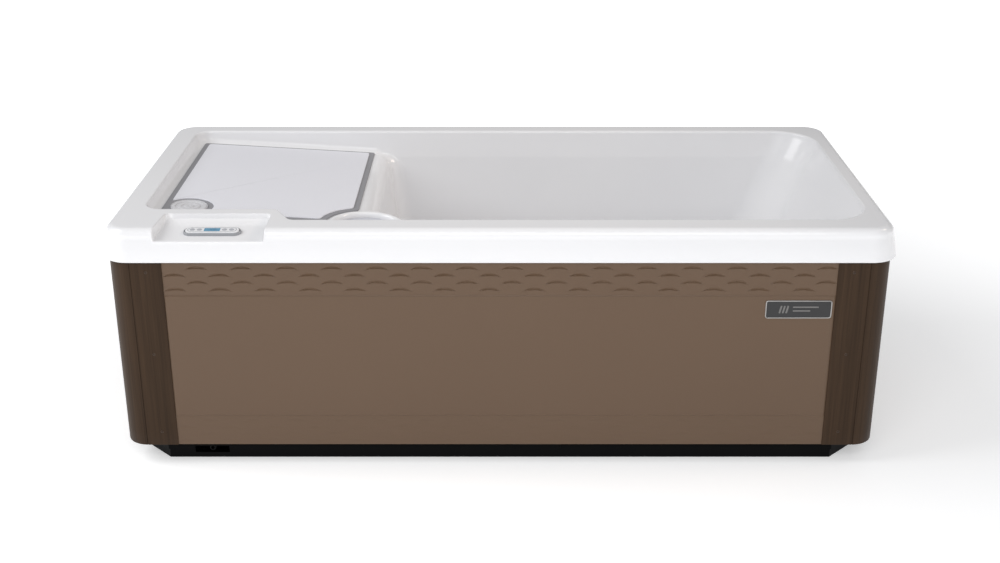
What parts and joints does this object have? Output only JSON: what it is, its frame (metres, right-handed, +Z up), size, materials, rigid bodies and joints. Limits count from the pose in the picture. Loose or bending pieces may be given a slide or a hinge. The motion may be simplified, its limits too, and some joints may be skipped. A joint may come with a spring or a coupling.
{
  "type": "cold plunge tub",
  "caption": "One-person rectangular plunge tub with an inner step seat, padded step, round filter well, control pod, sloped backrest and panelled cabinet on a low base.",
  "frame": {"origin": "centre of the footprint on the ground", "axes": "+X along the length towards the sloped backrest, +Y to the rear, away from the control pod side, +Z up"},
  "size_m": [2.134, 1.02, 0.705],
  "materials": {
    "base_black": "matte moulded",
    "timber": "sawn",
    "rail_metal": "mill finish",
    "panel_brown": "satin moulded, fine grain",
    "post_brown": "satin, embossed wood grain",
    "screw_bronze": "satin",
    "plate_metal": "brushed",
    "plate_black": "satin black",
    "shell_white": "high gloss acrylic",
    "foam_board": "closed cell",
    "pod_gray": "satin",
    "circuit_green": "lacquered",
    "pod_white": "satin overlay",
    "lens_blue": "gloss lens",
    "pad_gray": "brushed foam rubber",
    "pad_white": "brushed foam rubber",
    "pad_light": "brushed foam rubber",
    "pipe_white": "semi gloss",
    "steel": "brushed",
    "pump_black": "moulded",
    "motor_gray": "powder coat",
    "motor_black": "gloss paint",
    "box_gray": "powder coat",
    "coil_fins": "plain",
    "fan_black": "moulded",
    "button_gray": "satin",
    "filter_cloth": "pleated polyester",
    "cap_blue": "moulded",
    "lid_blue": "satin",
    "nozzle_gray": "satin",
    "impeller_tan": "glass-filled"
  },
  "bodies": {
    "tub": {"base_pan": "base_black", "shell_supports": "timber", "bottom_rails": "rail_metal", "top_rails": "rail_metal", "frame_uprights": "rail_metal", "rim_core": "timber", "front_panel": "panel_brown", "rear_panel": "panel_brown", "left_panel": "panel_brown", "right_panel": "panel_brown", "front_left_post": "post_brown", "front_right_post": "post_brown", "rear_left_post": "post_brown", "rear_right_post": "post_brown", "post_screws": "screw_bronze", "nameplate_frame": "plate_metal", "nameplate_face": "plate_black", "tub_shell": "shell_white", "insulation_boards": "foam_board", "control_bezel": "pod_gray", "control_board": "circuit_green", "control_face": "pod_white", "display_lens": "lens_blue", "pad_base": "pad_gray", "pad_top": "pad_white", "pad_medallion": "pad_light", "filter_ring": "shell_white", "filter_standpipe": "pipe_white", "suction_cover": "pipe_white", "jet_socket": "pipe_white", "floor_drain": "steel", "drain_pipe": "pipe_white", "drain_spigot": "pump_black", "pump_volute": "pump_black", "pump_motor": "motor_gray", "pump_bracket": "steel", "suction_pipe": "pipe_white", "pressure_pipe": "pipe_white", "chiller_tray": "box_gray", "compressor": "motor_black", "condenser_coil": "coil_fins", "fan_shroud": "fan_black", "fan_motor": "motor_gray", "heat_exchanger": "box_gray", "control_box": "box_gray", "control_box_lid": "box_gray", "vent_grille": "base_black", "power_gland": "base_black"},
    "power_key": {"power_button": "button_gray"},
    "colder_key": {"colder_button": "button_gray"},
    "warmer_key": {"warmer_button": "button_gray"},
    "light_key": {"light_button": "button_gray"},
    "cartridge": {"filter_pleats": "filter_cloth", "filter_top_cap": "cap_blue", "filter_bottom_cap": "cap_blue"},
    "lid": {"filter_lid": "lid_blue"},
    "nozzle": {"jet_nozzle": "nozzle_gray"},
    "collar": {"drain_collar": "pump_black"},
    "impeller": {"pump_impeller": "impeller_tan"},
    "fan": {"fan_blades": "fan_black"}
  },
  "joints": [
    {"name": "power_press", "type": "slide", "parent": "tub", "child": "power_key", "axis": [0, 0.1045, -0.9945], "range_m": [0, 0.001], "stiffness_N_per_m": 400},
    {"name": "colder_press", "type": "slide", "parent": "tub", "child": "colder_key", "axis": [0, 0.1045, -0.9945], "range_m": [0, 0.001], "stiffness_N_per_m": 400},
    {"name": "warmer_press", "type": "slide", "parent": "tub", "child": "warmer_key", "axis": [0, 0.1045, -0.9945], "range_m": [0, 0.001], "stiffness_N_per_m": 400},
    {"name": "light_press", "type": "slide", "parent": "tub", "child": "light_key", "axis": [0, 0.1045, -0.9945], "range_m": [0, 0.001], "stiffness_N_per_m": 400},
    {"name": "cartridge_lift", "type": "slide", "parent": "tub", "child": "cartridge", "axis": [0.0593, 0, 0.9982], "range_m": [0, 0.3]},
    {"name": "lid_lift", "type": "slide", "parent": "cartridge", "child": "lid", "axis": [0.0593, 0, 0.9982], "range_m": [0, 0.12]},
    {"name": "jet_swivel", "type": "hinge", "parent": "tub", "child": "nozzle", "pos_m": [-0.32615, -0.06, 0.33], "axis": [-0.1115, 0, 0.9938], "range_deg": [-15, 15]},
    {"name": "collar_turn", "type": "hinge", "parent": "tub", "child": "collar", "pos_m": [-0.819, -0.4385, 0.026], "axis": [0, 1, 0], "range_deg": [0, 90]},
    {"name": "impeller_spin", "type": "hinge", "parent": "tub", "child": "impeller", "pos_m": [-0.39279, -0.06, 0.16], "axis": [0, 1, 0], "continuous": true},
    {"name": "fan_spin", "type": "hinge", "parent": "tub", "child": "fan", "pos_m": [-0.941, 0.19, 0.25], "axis": [1, 0, 0], "continuous": true}
  ]
}
